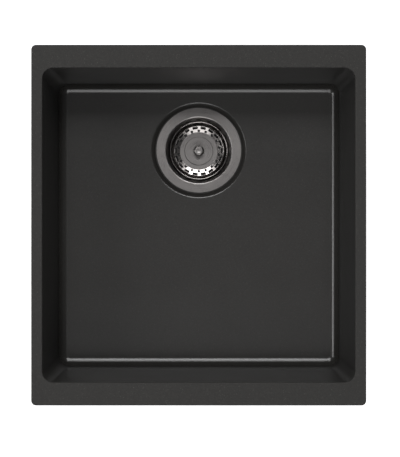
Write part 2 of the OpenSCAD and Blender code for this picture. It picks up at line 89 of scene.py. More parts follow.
DRAIN = Vector((middle("strainer_cup").x, middle("strainer_cup").y, 0))
FLANGE_TOP = high("strainer_cup").z
CUP_BOTTOM = low("strainer_cup").z
BASKET_TOP = high("basket_shell").z
BASKET_BOTTOM = low("basket_shell").z
ARMS = ("arm_front_left", "arm_front_right", "arm_rear_left", "arm_rear_right")
FULL_TURN = 2 * math.pi
SAME_PLACE = 1e-6
SAME_LEVEL = 1e-5


# Sizes and colours that a user would change

def length(name, description, default):
    return FloatProperty(name=name, description=description, default=default, unit="LENGTH", precision=5)


def colour(name, description, default):
    return FloatVectorProperty(
        name=name, description=description, default=default, size=3, subtype="COLOR", min=0, max=1)


def watts(name, description, default):
    return FloatProperty(name=name, description=description, default=default, unit="POWER")


def fraction(name, description, default):
    return FloatProperty(
        name=name, description=description, default=default, subtype="FACTOR", min=0, max=1)


def number(name, description, default):
    return IntProperty(name=name, description=description, default=default)


class BowlSizes(bpy.types.PropertyGroup):
    opening_width: length("Opening width", "Width of the opening in the rim", 0.390)
    opening_length: length("Opening length", "Length of the opening, front to back", 0.392)
    opening_edge: length("Opening edge", "Radius where rim and wall meet", 0.002)
    depth: length("Depth", "From the rim's top to the floor", 0.190)
    lean: length("Wall lean", "How far each wall leans in at the floor", 0.0095)
    corner: length("Corner radius", "Radius of the bowl's upright corners", 0.0135)
    fillet: length("Floor radius", "Radius between walls and floor", 0.0113)
    wall: length("Wall", "Thickness of the walls", 0.008)
    floor: length("Floor", "Thickness of the floor", 0.009)
    rim: length("Rim", "Thickness of the rim", 0.012)
    rim_corner: length("Rim corner", "Radius of the rim's outer corners", 0.006)
    rim_edge: length("Rim edge", "Radius of the rim's upper outer edge", 0.0015)
    recess_radius: length("Recess radius", "Where the outlet's recess meets the floor", 0.063)
    seat_radius: length("Seat radius", "Radius of the flat seat in the recess", 0.0585)
    recess_depth: length("Recess depth", "From the floor to the seat", 0.004)
    lip_radius: length("Lip radius", "Rounding of the recess's upper edge", 0.005)
    lip_drop: length("Lip drop", "Height of the recess's gentle outer slope", 0.0017)
    lip_width: length("Lip width", "Width of the recess's gentle outer slope", 0.0042)
    outlet_radius: length("Outlet radius", "Radius of the hole through the floor", 0.045)
    boss_radius: length("Boss radius", "Radius of the boss round the outlet", 0.062)
    rim_roughness: fraction("Rim roughness", "Roughness of the rim's face", 0.85)
    wall_roughness: fraction("Wall roughness", "Roughness of the walls", 0.50)
    bowl_roughness: fraction("Floor roughness", "Roughness of the floor and its fillet", 0.22)
    dark: colour("Dark grain", "Colour of most of the grain", (0.0180, 0.0173, 0.0163))
    light: colour("Light grain", "Colour of the paler grain", (0.0386, 0.0369, 0.0343))
    cast: colour("Cast back", "Colour of the unfinished back", (0.050, 0.049, 0.047))


class StrainerSizes(bpy.types.PropertyGroup):
    sheet: length("Cup sheet", "Thickness of the cup's steel", 0.0012)
    mouth_radius: length("Mouth radius", "Where the flange turns down", 0.0452)
    top_radius: length("Upper radius", "Inside of the cup at the basket's rim", 0.0412)
    low_radius: length("Lower radius", "Inside of the cup near its base", 0.040)
    lip: length("Lip", "Radius of the bend from the flange into the mouth", 0.0030)
    bend: length("Bend", "Radius between the cup's wall and base", 0.007)
    sump_radius: length("Sump radius", "Radius of the perforated sump", 0.023)
    sump_depth: length("Sump depth", "Depth of the sump below the seat", 0.007)
    drain_hole: length("Drain hole", "Radius of an outer drain hole", 0.0026)
    drain_holes: number("Drain holes", "Number of outer drain holes", 12)
    basket_sheet: length("Basket sheet", "Thickness of the basket's steel", 0.0009)
    bead: length("Bead", "Radius of the basket's rolled rim", 0.001)
    shoulder_radius: length("Shoulder radius", "Top of the slotted slope", 0.0333)
    slope_height: length("Slope height", "Height of the slotted slope", 0.0026)
    foot_radius: length("Foot radius", "Radius of the basket's floor", 0.025)
    disc_radius: length("Disc radius", "Radius of the raised disc", 0.0187)
    disc_height: length("Disc height", "Height of the raised disc", 0.001)
    slots: number("Slots", "Number of slots in each row", 18)
    knob_radius: length("Knob radius", "Radius of the knob's head", 0.0064)
    stem_radius: length("Stem radius", "Radius of the knob's stem", 0.005)
    steel: colour("Steel", "Colour of the brushed flange", (0.205, 0.195, 0.191))
    dark_steel: colour("Cup steel", "Colour of the polished cup and basket", (0.290, 0.273, 0.266))
    cup_roughness: fraction("Cup roughness", "Least roughness of the cup", 0.30)
    basket_roughness: fraction("Basket roughness", "Least roughness of the basket", 0.12)


class WasteSizes(bpy.types.PropertyGroup):
    flange: length("Flange", "Thickness of the waste body's flange", 0.005)
    chamber_radius: length("Chamber radius", "Inside of the chamber", 0.048)
    chamber_height: length("Chamber height", "From the flange's top to the funnel", 0.030)
    funnel_height: length("Funnel height", "Height of the funnel", 0.022)
    wall: length("Wall", "Wall of the waste body", 0.003)
    bore_radius: length("Bore radius", "Inside of the outlet", 0.0203)
    thread_radius: length("Thread radius", "Outside of the outlet's thread", 0.0239)
    thread_depth: length("Thread depth", "Depth of the outlet's thread", 0.0013)
    pitch: length("Pitch", "Travel of the nut in one turn", 0.002309)
    hub_radius: length("Hub radius", "Radius of the hub", 0.0085)
    fin: length("Fin", "Thickness of a fin", 0.0026)
    fins: number("Fins", "Number of fins round the chamber", 8)
    nut_radius: length("Nut radius", "Outside of the coupling nut", 0.0285)
    nut_lip: length("Nut lip", "Thickness of the nut's lip", 0.003)
    grips: number("Grips", "Number of grips on the nut", 12)
    grip: length("Grip", "Width of a grip", 0.0044)
    plastic: colour("Plastic", "Colour of the waste body and nut", (0.66, 0.66, 0.63))
    rubber: colour("Rubber", "Colour of seals and gaskets", (0.014, 0.014, 0.0145))


class FixingSizes(bpy.types.PropertyGroup):
    tail: length("Tail", "From an arm's pivot to its tail", 0.0095)
    slot_width: length("Slot width", "Width of an arm's slot", 0.0055)
    slot_length: length("Slot length", "Overall length of an arm's slot", 0.014)
    pivot_radius: length("Pivot radius", "Radius of an arm's pivot hole", 0.00303)
    head_radius: length("Head radius", "Radius of a screw's head over its corners", 0.0058)
    head_height: length("Head height", "Height of a screw's head", 0.004)
    washer_radius: length("Washer radius", "Outside of a washer", 0.0064)
    boss_radius: length("Boss radius", "Radius of an insert's boss", 0.008)
    insert_radius: length("Insert radius", "Outside of a brass insert", 0.00405)
    rib: length("Rib", "Thickness of a rib", 0.006)
    rib_pitch: length("Rib pitch", "Distance between ribs", 0.060)
    zinc: colour("Zinc", "Colour of plated steel", (0.52, 0.54, 0.56))
    brass: colour("Brass", "Colour of the inserts and clamp nut", (0.62, 0.43, 0.17))


class StageSizes(bpy.types.PropertyGroup):
    camera_height: length("Camera height", "Height of the camera above the rim", 2.82)
    camera_right: length("Camera right", "Camera's place to the right of the rim's centre", 0.0016)
    camera_back: length("Camera back", "Camera's place behind the rim's centre", -0.0042)
    view_height: length("View height", "What the camera sees of the rim's plane, front to back", 0.5698)
    floor_radius: length("Floor radius", "Radius of the floor", 6.0)
    glow: fraction("Floor glow", "Light of the floor that only the camera and reflections see", 0.75)
    ambient: fraction("Ambient", "Strength of the world's light", 0.10)
    rear: watts("Rear", "Power of the long lamp behind the sink", 19.5)
    rear_low: watts("Rear, low", "Power of the lamp below it", 14)
    front_high: watts("Front, high", "Power of the lamp above the front one", 4.5)
    front: watts("Front", "Power of the long lamp before the sink", 7.2)
    front_low: watts("Front, low", "Power of the lamp below it", 8.0)
    left: watts("Left", "Power of the lamp to the left", 15)
    overhead: watts("Overhead", "Power of the lamp behind the camera", 0.9)


class SinkSettings(bpy.types.PropertyGroup):
    bowl: PointerProperty(type=BowlSizes)
    strainer: PointerProperty(type=StrainerSizes)
    waste: PointerProperty(type=WasteSizes)
    fixing: PointerProperty(type=FixingSizes)
    stage: PointerProperty(type=StageSizes)


# Shader maths as Python expressions

class Signal:
    """An output socket; arithmetic on it adds Math nodes to its finish."""

    def __init__(self, finish, socket):
        self.finish = finish
        self.socket = socket

    def maths(self, operation, first, second):
        return self.finish.node("Math", {"operation": operation}, {0: first, 1: second})

    def __add__(self, other):
        return self.maths("ADD", self, other)

    def __sub__(self, other):
        return self.maths("SUBTRACT", self, other)

    def __rsub__(self, other):
        return self.maths("SUBTRACT", other, self)

    def __mul__(self, other):
        return self.maths("MULTIPLY", self, other)

    def __truediv__(self, other):
        return self.maths("DIVIDE", self, other)

    def __pow__(self, other):
        return self.maths("POWER", self, other)

    def __gt__(self, other):
        return self.maths("GREATER_THAN", self, other)

    __radd__ = __add__
    __rmul__ = __mul__


class Finish:
    """A material being made: one shader, and one method that adds any other node."""

    def __init__(self, name, **constants):
        self.material = bpy.data.materials.new(name)
        self.material.use_nodes = True
        self.tree = self.material.node_tree
        self.shader = self.tree.nodes["Principled BSDF"]
        for socket, value in constants.items():
            self.shader.inputs[socket.replace("_", " ")].default_value = value

    def feed(self, socket, value):
        if isinstance(value, Signal):
            self.tree.links.new(value.socket, socket)
        else:
            socket.default_value = value

    def node(self, kind, settings=None, sockets=None, output=0):
        made = self.tree.nodes.new("ShaderNode" + kind)
        for name, value in (settings or {}).items():
            if name == "stops":
                for stop, (place, tone) in zip(self.stops(made.color_ramp, len(value)), value):
                    stop.position = place
                    stop.color = (tone, tone, tone, 1)
            else:
                setattr(made, name, value)
        for key, value in (sockets or {}).items():
            self.feed(made.inputs[key], value)
        return Signal(self, made.outputs[output])

    def stops(self, ramp, count):
        while len(ramp.elements) < count:
            ramp.elements.new(1)
        return ramp.elements

    def place(self):
        return self.node("TexCoord", output=3)

    def axes(self):
        place = self.node("SeparateXYZ", sockets={0: self.place()})
        outputs = place.socket.node.outputs
        return [Signal(self, outputs[i]) for i in range(3)]

    def noise(self, size, detail=2, place=None):
        """Even noise from 0 to 1 whose lumps are about size metres across."""
        return self.node("TexNoise", {"noise_dimensions": "3D"},
                         {"Vector": place or self.place(), "Scale": 1 / size, "Detail": detail})

    def grains(self, size, place=None):
        """One random tone for each grain of about size metres."""
        cells = self.node("TexVoronoi", {"feature": "F1"},
                          {"Vector": place or self.place(), "Scale": 1 / size}, output=1)
        return self.node("SeparateColor", sockets={0: cells})

    def steps(self, value, *stops):
        """A grey ramp through (place, tone) stops."""
        return self.node("ValToRGB", {"stops": stops}, {0: value})

    def mix(self, factor, first, second):
        """A colour between two colours."""
        sockets = {0: factor, 6: solid(first), 7: solid(second)}
        return self.node("Mix", {"data_type": "RGBA"}, sockets, output=2)

    def stretched(self, x, y, z, centre=(0, 0, 0)):
        """Object coordinates round a centre, stretched along each axis."""
        moved = self.node("VectorMath", {"operation": "SUBTRACT"}, {0: self.place(), 1: centre})
        return self.node("VectorMath", {"operation": "MULTIPLY"}, {0: moved, 1: (x, y, z)})

    def rings(self, detail, across, along, up):
        """Noise round the drain's axis, stretched across, along and up its rings."""
        x, y, z = self.axes()
        right = x - DRAIN.x
        back = y - DRAIN.y
        distance = (right * right + back * back) ** 0.5
        turn = self.node("Math", {"operation": "ARCTAN2"}, {0: back, 1: right}) / FULL_TURN
        place = self.node("CombineXYZ", sockets={0: distance * across, 1: turn * along, 2: z * up})
        return self.noise(1, detail, place)

    def worn(self, tone, roughness, height, depth, strength):
        """Feeds the shader's colour and roughness, and its normal from a height over depth metres."""
        bump = self.node("Bump", sockets={"Height": height, "Distance": depth, "Strength": strength})
        for socket, value in (("Base Color", tone), ("Roughness", roughness), ("Normal", bump)):
            self.feed(self.shader.inputs[socket], value)
        return self.material


def solid(tone):
    return tone if isinstance(tone, Signal) else (*tone[:3], 1)


def shade(tone, factor):
    return tuple(part * factor for part in tone[:3])


def made_once(build):
    """The finish is made at its first use and found by its name after that."""
    def find(settings):
        name = build.__name__
        return bpy.data.materials.get(name) or build(settings, name)
    return find


@made_once
def granite_face(settings, name):
    sizes = settings.bowl
    finish = Finish(name, IOR=1.5)
    depth = finish.axes()[2] * -1
    inside = finish.steps(depth / sizes.depth, (0, 0), (0.0005, 0.55), (0.01, 1))
    grain = finish.grains(0.0011)
    fine = finish.grains(0.0006)
    tone = finish.steps(grain * 0.7 + fine * 0.3, (0.25, 0), (0.78, 1))
    quiet = 0.35 + (1 - inside) * 0.65
    base = finish.mix(0.28 + (tone - 0.5) * 0.5 * quiet, sizes.dark, sizes.light)
    mica = (finish.grains(0.0008, finish.stretched(1, 1, 1, (0.3, 0.1, 0.2))) > 0.985) * (0.3 * quiet)
    flecked = finish.mix(mica, base, shade(sizes.light, 3.0))
    cloud = finish.noise(0.05, 3) - 0.5
    wall = inside * (sizes.wall_roughness - sizes.rim_roughness) + sizes.rim_roughness
    at_floor = finish.steps(depth / sizes.depth, (0.93, 0), (0.96, 1))
    level = wall + at_floor * (sizes.bowl_roughness - sizes.wall_roughness)
    rough = level + cloud * 0.04 + (tone - 0.5) * (0.05 - inside * 0.03)
    return finish.worn(flecked, rough, finish.noise(0.0007, 2) * (1.1 - inside), 0.00012, 0.5)


@made_once
def granite_back(settings, name):
    sizes = settings.bowl
    finish = Finish(name, IOR=1.45, Specular_IOR_Level=0.35)
    cloud = finish.noise(0.035, 4)
    grain = finish.grains(0.0014)
    flow = finish.noise(1, 3, finish.stretched(14, 14, 60))
    tone = cloud * 0.5 + grain * 0.2 + flow * 0.3
    base = finish.mix(tone, shade(sizes.cast, 0.72), shade(sizes.cast, 1.35))
    rough = 0.66 + grain * 0.16
    rise = finish.noise(0.0016, 3) * 0.6 + finish.noise(0.012, 3) * 0.4
    return finish.worn(base, rough, rise, 0.0006, 0.55)


@made_once
def brushed_steel(settings, name):
    sizes = settings.strainer
    finish = Finish(name, Metallic=1.0)
    lines = finish.rings(4, 5200, 6, 900)
    faint = finish.noise(0.012, 3)
    base = finish.mix(lines * 0.6 + faint * 0.4, shade(sizes.steel, 0.86), shade(sizes.steel, 1.14))
    return finish.worn(base, 0.21 + lines * 0.12 + faint * 0.04, lines, 0.00003, 0.35)


def drawn_steel(settings, name, roughness):
    """Steel with faint rings from its forming."""
    tone = settings.strainer.dark_steel
    finish = Finish(name, Metallic=1.0)
    drawn = finish.rings(2, 300, 8, 1600)
    cloud = finish.noise(0.010, 3)
    base = finish.mix(drawn * 0.5 + cloud * 0.5, shade(tone, 0.8), shade(tone, 1.2))
    return finish.worn(base, roughness + cloud * 0.06 + drawn * 0.04, drawn, 0.00002, 0.25)


@made_once
def cup_steel(settings, name):
    return drawn_steel(settings, name, settings.strainer.cup_roughness)


@made_once
def basket_steel(settings, name):
    return drawn_steel(settings, name, settings.strainer.basket_roughness)


@made_once
def turned_steel(settings, name):
    finish = Finish(name, Metallic=1.0)
    rings = finish.rings(2, 4200, 3, 4200)
    base = finish.mix(rings, (0.42, 0.42, 0.41), (0.60, 0.60, 0.585))
    return finish.worn(base, 0.24 + rings * 0.12, rings, 0.00003, 0.4)


@made_once
def zinc_plate(settings, name):
    sizes = settings.fixing
    finish = Finish(name, Metallic=1.0)
    cloud = finish.noise(0.006, 4)
    spangle = finish.grains(0.0022)
    tint = finish.mix(cloud, shade(sizes.zinc, 0.82), sizes.zinc)
    base = finish.mix(spangle * 0.25, tint, (0.60, 0.57, 0.46))
    return finish.worn(base, 0.30 + cloud * 0.16 + spangle * 0.05, cloud, 0.00006, 0.4)


@made_once
def turned_brass(settings, name):
    sizes = settings.fixing
    finish = Finish(name, Metallic=1.0)
    cloud = finish.noise(0.004, 4)
    rings = finish.noise(1, 2, finish.stretched(120, 120, 5200))
    base = finish.mix(cloud * 0.6 + rings * 0.4, shade(sizes.brass, 0.72), sizes.brass)
    return finish.worn(base, 0.26 + cloud * 0.2, rings, 0.00003, 0.3)


@made_once
def black_rubber(settings, name):
    sizes = settings.waste
    finish = Finish(name, IOR=1.5, Specular_IOR_Level=0.4)
    dust = finish.noise(0.004, 4)
    pores = finish.noise(0.0005, 2)
    base = finish.mix(finish.steps(dust, (0.45, 0), (0.8, 1)), sizes.rubber, shade(sizes.rubber, 2.2))
    return finish.worn(base, 0.58 + dust * 0.2, pores, 0.00008, 0.4)


@made_once
def white_plastic(settings, name):
    sizes = settings.waste
    finish = Finish(name, IOR=1.49, Specular_IOR_Level=0.45, Subsurface_Weight=0.08,
                    Subsurface_Scale=0.002)
    cloud = finish.noise(0.03, 3)
    spark = finish.noise(0.0007, 2)
    handled = finish.noise(0.009, 4)
    base = finish.mix(cloud, shade(sizes.plastic, 0.93), sizes.plastic)
    return finish.worn(base, 0.36 + spark * 0.12 + handled * 0.08, spark, 0.00005, 0.5)


# Shapes from bmesh operators

def chain(bm, points):
    """A row of joined points in the XZ plane, right of the upright axis at the drain."""
    verts = [bm.verts.new((DRAIN.x + r, DRAIN.y, z)) for r, z in points]
    edges = [bm.edges.new(pair) for pair in zip(verts, verts[1:])]
    return verts + edges


def spun(bm, points, steps=96, closed=True):
    """Turns a profile of (radius, z) points once round the drain's axis and returns its faces."""
    before = set(bm.faces)
    profile = chain(bm, points + [points[0]] if closed else points)
    bmesh.ops.spin(bm, geom=profile, cent=DRAIN, axis=(0, 0, 1), angle=FULL_TURN, steps=steps,
                   use_merge=True)
    bmesh.ops.remove_doubles(bm, verts=bm.verts, dist=SAME_PLACE)
    return [face for face in bm.faces if face not in before]


def arc(centre_r, centre_z, size, start, end, steps=6):
    """Points of (radius, z) on an arc between two angles in degrees."""
    turns = [math.radians(start + (end - start) * i / steps) for i in range(steps + 1)]
    return [(centre_r + size * math.cos(turn), centre_z + size * math.sin(turn)) for turn in turns]


def block(bm, lowest, highest):
    """A box between two corners; returns its vertices."""
    lowest, highest = Vector(lowest), Vector(highest)
    matrix = Matrix.Translation((lowest + highest) / 2) @ Matrix.Diagonal((*(highest - lowest), 1))
    return bmesh.ops.create_cube(bm, size=1, matrix=matrix)["verts"]


def soften(bm, edges, offset, segments=2):
    """Rounds edges with an arc."""
    return bmesh.ops.bevel(bm, geom=list(edges), offset=offset, offset_type="OFFSET", segments=segments,
                           profile=0.5, affect="EDGES", material=-1, clamp_overlap=True)


def outer_edges(bm, angle=35):
    """Edges sharper than an angle in degrees."""
    limit = math.radians(angle)
    return [edge for edge in bm.edges if edge.is_manifold and edge.calc_face_angle(0) > limit]


def turned(bm, verts, angle, centre=DRAIN):
    bmesh.ops.rotate(bm, verts=verts, cent=centre, matrix=Matrix.Rotation(angle, 3, "Z"))


def level_of(face):
    return face.calc_center_median().z


def climb(edge):
    return abs(edge.verts[0].co.z - edge.verts[1].co.z)


def linked_edges(verts):
    return {edge for vert in verts for edge in vert.link_edges}


def shifted(bm, faces, shift):
    bmesh.ops.translate(bm, vec=shift, verts=list({vert for face in faces for vert in face.verts}))


def filled(bm, edges):
    """Fills flat outlines, with the holes in them, and returns the new faces."""
    made = bmesh.ops.triangle_fill(bm, use_beauty=True, use_dissolve=False, edges=list(edges))["geom"]
    return [item for item in made if isinstance(item, bmesh.types.BMFace)]


def extruded(bm, faces, shift):
    """Extrudes faces along a shift and returns the new vertices."""
    made = bmesh.ops.extrude_face_region(bm, geom=faces)["geom"]
    moved = [item for item in made if isinstance(item, bmesh.types.BMVert)]
    bmesh.ops.translate(bm, vec=shift, verts=moved)
    return moved


def settle(bm):
    """Merges doubles and points every face outwards."""
    bmesh.ops.remove_doubles(bm, verts=bm.verts, dist=SAME_PLACE)
    bmesh.ops.recalc_face_normals(bm, faces=bm.faces)


def finished(name, bm, finishes, body, nodes=(), sharp=32):
    """Makes the piece: smooth faces with sharp edges, its finishes, body and what it replaces."""
    for face in bm.faces:
        face.smooth = True
    for edge in bm.edges:
        edge.smooth = not edge.is_manifold or edge.calc_face_angle(0) < math.radians(sharp)
    mesh = bpy.data.meshes.new(name)
    bm.to_mesh(mesh)
    bm.free()
    piece = bpy.data.objects.new(name, mesh)
    bpy.context.scene.collection.objects.link(piece)
    for finish in finishes:
        mesh.materials.append(finish)
    weighted = piece.modifiers.new("weighted_normals", "WEIGHTED_NORMAL")
    weighted.keep_sharp = True
    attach(piece, body)
    if nodes:
        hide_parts(*nodes)
    return piece


def dressed(node, finish):
    """Gives a CAD node its finish."""
    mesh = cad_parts[node].data
    mesh.materials.clear()
    mesh.materials.append(finish)


# The bowl

FACE = 0
BACK = 1


def inset_panel(bm, face, half_x, half_y):
    """Insets a level face and sets the new panel to a rectangle round the origin."""
    bmesh.ops.inset_region(bm, faces=[face], thickness=0.001)
    fit_panel(face, half_x, half_y)


def fit_panel(face, half_x, half_y):
    for vert in face.verts:
        vert.co.x = math.copysign(half_x, vert.co.x)
        vert.co.y = math.copysign(half_y, vert.co.y)


def sunk_panel(bm, face, drop, half_x, half_y):
    """Extrudes a level panel down to a new size and returns its upright corner edges."""
    made = bmesh.ops.extrude_face_region(bm, geom=[face])["geom"]
    panel = next(item for item in made if isinstance(item, bmesh.types.BMFace))
    bmesh.ops.delete(bm, geom=[face], context="FACES_ONLY")
    bmesh.ops.translate(bm, vec=(0, 0, -drop), verts=list(panel.verts))
    fit_panel(panel, half_x, half_y)
    return [edge for vert in panel.verts for edge in vert.link_edges if edge not in panel.edges]


def level_edges(bm, z):
    """Edges that lie at a level."""
    return [edge for edge in bm.edges if all(abs(vert.co.z - z) < SAME_LEVEL for vert in edge.verts)]


def open_panel(bm, z, material):
    """Replaces the flat panel at a level by one with a round hole, whose edge a spun ring gives."""
    level = [face for face in bm.faces if abs(level_of(face) - z) < SAME_LEVEL]
    panel = max(level, key=bmesh.types.BMFace.calc_area)
    bmesh.ops.delete(bm, geom=[panel], context="FACES_ONLY")
    border = [edge for edge in level_edges(bm, z) if edge.is_boundary]
    for face in filled(bm, border):
        face.material_index = material


class SINK_OT_bowl(bpy.types.Operator):
    """Makes the bowl: rim, leaning walls, floor, and the recess and boss round the outlet"""
    bl_idname = "sink.bowl"
    bl_label = "Bowl"

    def execute(self, context):
        settings = context.scene.sink
        sizes = settings.bowl
        lowest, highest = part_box("bowl")
        half_x, half_y = sizes.opening_width / 2, sizes.opening_length / 2
        under = -sizes.depth - sizes.floor
        bm = bmesh.new()
        block(bm, (lowest.x, lowest.y, -sizes.rim), highest)
        rim_corners = [edge for edge in bm.edges if climb(edge) > sizes.rim / 2]
        top = max(bm.faces, key=level_of)
        below = min(bm.faces, key=level_of)
        inset_panel(bm, top, half_x, half_y)
        back = sizes.wall - sizes.lean * sizes.rim / sizes.depth
        inset_panel(bm, below, half_x + back, half_y + back)
        inner = sunk_panel(bm, top, sizes.depth, half_x - sizes.lean, half_y - sizes.lean)
        outer = sunk_panel(bm, below, sizes.depth + sizes.floor - sizes.rim,
                           half_x - sizes.lean + sizes.wall, half_y - sizes.lean + sizes.wall)
        bmesh.ops.recalc_face_normals(bm, faces=bm.faces)
        soften(bm, rim_corners, sizes.rim_corner, 6)
        soften(bm, inner, sizes.corner, 12)
        soften(bm, outer, sizes.corner + sizes.wall, 12)
        soften(bm, level_edges(bm, -sizes.depth), sizes.fillet, 10)
        soften(bm, level_edges(bm, under), sizes.fillet + sizes.wall, 10)
        self.ease_rim(bm, sizes)
        self.mark_back(bm, sizes)
        self.outlet(bm, sizes, lowest.z)
        open_panel(bm, -sizes.depth, FACE)
        open_panel(bm, under, BACK)
        settle(bm)
        finishes = (granite_face(settings), granite_back(settings))
        finished("bowl_casting", bm, finishes, "sink", ["bowl"])
        return {"FINISHED"}

    def ease_rim(self, bm, sizes):
        """Rounds the opening's edge and the rim's upper outer edge."""
        opening, outside = [], []
        for edge in level_edges(bm, 0):
            if edge.is_manifold and edge.calc_face_angle(0) > math.radians(30):
                centre = (edge.verts[0].co + edge.verts[1].co) / 2
                beyond_x = abs(centre.x) - sizes.opening_width / 2
                beyond_y = abs(centre.y) - sizes.opening_length / 2
                (opening if max(beyond_x, beyond_y) < 1e-4 else outside).append(edge)
        soften(bm, opening, sizes.opening_edge, 4)
        soften(bm, outside, sizes.rim_edge, 3)

    def mark_back(self, bm, sizes):
        """Gives the rim's underside and the outer walls the unfinished casting's material."""
        for face in bm.faces:
            centre = face.calc_center_median()
            faces_out = face.normal.x * centre.x + face.normal.y * centre.y > 0
            below = centre.z < -sizes.rim + 1e-4
            if below and (faces_out or face.normal.z < -0.3):
                face.material_index = BACK

    def outlet(self, bm, sizes, lowest):
        """Spins the recess, its seat, the hole and the boss under the floor."""
        floor_z = -sizes.depth
        seat_z = floor_z - sizes.recess_depth
        under = floor_z - sizes.floor
        soft = 0.0012
        lip_edge = sizes.recess_radius + soft
        lip = [(sizes.recess_radius + 3 * soft, floor_z)]
        lip += arc(lip_edge, floor_z - sizes.lip_radius, sizes.lip_radius, 90, 110, 5)
        lip += [(lip_edge - sizes.lip_width, floor_z - sizes.lip_drop)]
        foot = [(sizes.seat_radius + soft / 2, seat_z + soft), (sizes.seat_radius - soft / 2, seat_z)]
        seat = [(sizes.outlet_radius + soft / 2, seat_z), (sizes.outlet_radius, seat_z - soft / 2)]
        mouth = [(sizes.outlet_radius, lowest + soft / 2), (sizes.outlet_radius + soft / 2, lowest)]
        boss = arc(sizes.boss_radius - soft, lowest + soft, soft, 270, 360, 4)
        boss += [(sizes.boss_radius, under)]
        inner = spun(bm, lip + foot + seat, 128, closed=False)
        outer = spun(bm, [seat[-1]] + mouth + boss, 128, closed=False)
        for faces, material in ((inner, FACE), (outer, BACK)):
            for face in faces:
                face.material_index = material


class SINK_OT_rim_bosses(bpy.types.Operator):
    """Makes the four insert bosses and the ribs under the rim"""
    bl_idname = "sink.rim_bosses"
    bl_label = "Rim Bosses and Ribs"

    def execute(self, context):
        settings = context.scene.sink
        sizes, bowl = settings.fixing, settings.bowl
        under = -bowl.rim
        bottom = low("rim_inserts").z
        wall_y = bowl.opening_length / 2 + bowl.wall
        bm = bmesh.new()
        for node in ARMS:
            centre = self.pivot(node, sizes)
            self.boss(bm, centre, sizes, bottom, under)
        for side in (-1, 1):
            for step in (-1, 0, 1):
                x = step * sizes.rib_pitch
                near, far = sorted((side * (wall_y - bowl.wall / 2), side * (high("bowl").y - 0.005)))
                verts = block(bm, (x - sizes.rib / 2, near, bottom + 0.0008),
                              (x + sizes.rib / 2, far, under + 0.002))
                soften(bm, linked_edges(verts), 0.0012, 3)
        settle(bm)
        finished("rim_bosses", bm, (granite_back(settings),), "sink")
        return {"FINISHED"}

    @staticmethod
    def pivot(node, sizes):
        """An arm's pivot: its tail's distance in from its outer end."""
        lowest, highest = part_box(node)
        outer = highest.x - sizes.tail if middle(node).x > 0 else lowest.x + sizes.tail
        return Vector((outer, middle(node).y, 0))

    @staticmethod
    def boss(bm, centre, sizes, bottom, under):
        flare = 0.002
        profile = [(sizes.insert_radius, under + 0.001), (sizes.insert_radius, bottom)]
        profile += arc(sizes.boss_radius - 0.001, bottom + 0.001, 0.001, 270, 360, 4)
        profile += arc(sizes.boss_radius + flare, under - flare, flare, 180, 90, 5)
        profile += [(sizes.boss_radius + flare, under + 0.001)]
        shifted(bm, spun(bm, profile, 40), centre - DRAIN)


# The strainer

def sheet_piece(name, bm, thickness, finishes, body, nodes):
    """A piece of even sheet: the skin is its upper face, and Solidify adds its thickness below."""
    settle(bm)
    if sum(face.normal.z * face.calc_area() for face in bm.faces) < 0:
        bmesh.ops.reverse_faces(bm, faces=bm.faces)
    piece = finished(name, bm, finishes, body, nodes)
    solidify = piece.modifiers.new("sheet", "SOLIDIFY")
    solidify.thickness = thickness
    solidify.offset = -1
    solidify.use_even_offset = True
    piece.modifiers.move(1, 0)
    return piece


class SINK_OT_strainer_cup(bpy.types.Operator):
    """Makes the strainer's cup: brushed flange, rounded mouth, polished wall and perforated sump"""
    bl_idname = "sink.strainer_cup"
    bl_label = "Strainer Cup"

    def execute(self, context):
        settings = context.scene.sink
        sizes = settings.strainer
        top = FLANGE_TOP
        sump_z = CUP_BOTTOM + sizes.sheet
        seat_z = sump_z + sizes.sump_depth
        rim = [(radius("strainer_cup"), top - 0.0002), (radius("strainer_cup") - 0.0002, top)]
        flange = rim + [(sizes.mouth_radius + 0.002, top)]
        wall = arc(sizes.mouth_radius, top - sizes.lip, sizes.lip, 90, 174, 8)
        wall += [(sizes.top_radius, BASKET_TOP)]
        low_bend = arc(sizes.low_radius - sizes.bend, seat_z + sizes.bend, sizes.bend, 0, -90, 6)
        edge = 0.001
        sump = [(sizes.sump_radius + edge, seat_z), (sizes.sump_radius, seat_z - edge),
                (sizes.sump_radius, sump_z + edge), (sizes.sump_radius - edge, sump_z)]
        bm = bmesh.new()
        spun(bm, flange + wall + low_bend + sump, 128, closed=False)
        self.sump_floor(bm, sizes, sump_z, edge)
        settle(bm)
        for face in bm.faces:
            face.material_index = 0 if level_of(face) > top - 0.0007 else 1
        finishes = (brushed_steel(settings), cup_steel(settings))
        sheet_piece("strainer_cup_sheet", bm, sizes.sheet, finishes, "sink",
                    ["strainer_cup"])
        return {"FINISHED"}

    def sump_floor(self, bm, sizes, z, edge):
        """Fills the sump's floor round its drain holes and the screw's hole."""
        small = 0.7 * sizes.drain_hole
        outer_row = sizes.sump_radius - 2 * edge - sizes.drain_hole
        inner_row = outer_row - sizes.drain_hole - edge - small
        rows = ((sizes.drain_holes, outer_row, sizes.drain_hole, 0),
                (sizes.drain_holes // 2, inner_row, small, 0.5))
        places = [((0, 0), radius("centre_screw") / 2)]
        for count, row, hole, turn in rows:
            angles = [FULL_TURN * (i + turn) / count for i in range(count)]
            places += [((row * math.cos(angle), row * math.sin(angle)), hole) for angle in angles]
        for (x, y), hole in places:
            place = Matrix.Translation((DRAIN.x + x, DRAIN.y + y, z))
            bmesh.ops.create_circle(bm, segments=24, radius=hole, matrix=place)
        filled(bm, [line for line in level_edges(bm, z) if not line.link_faces or line.is_boundary])


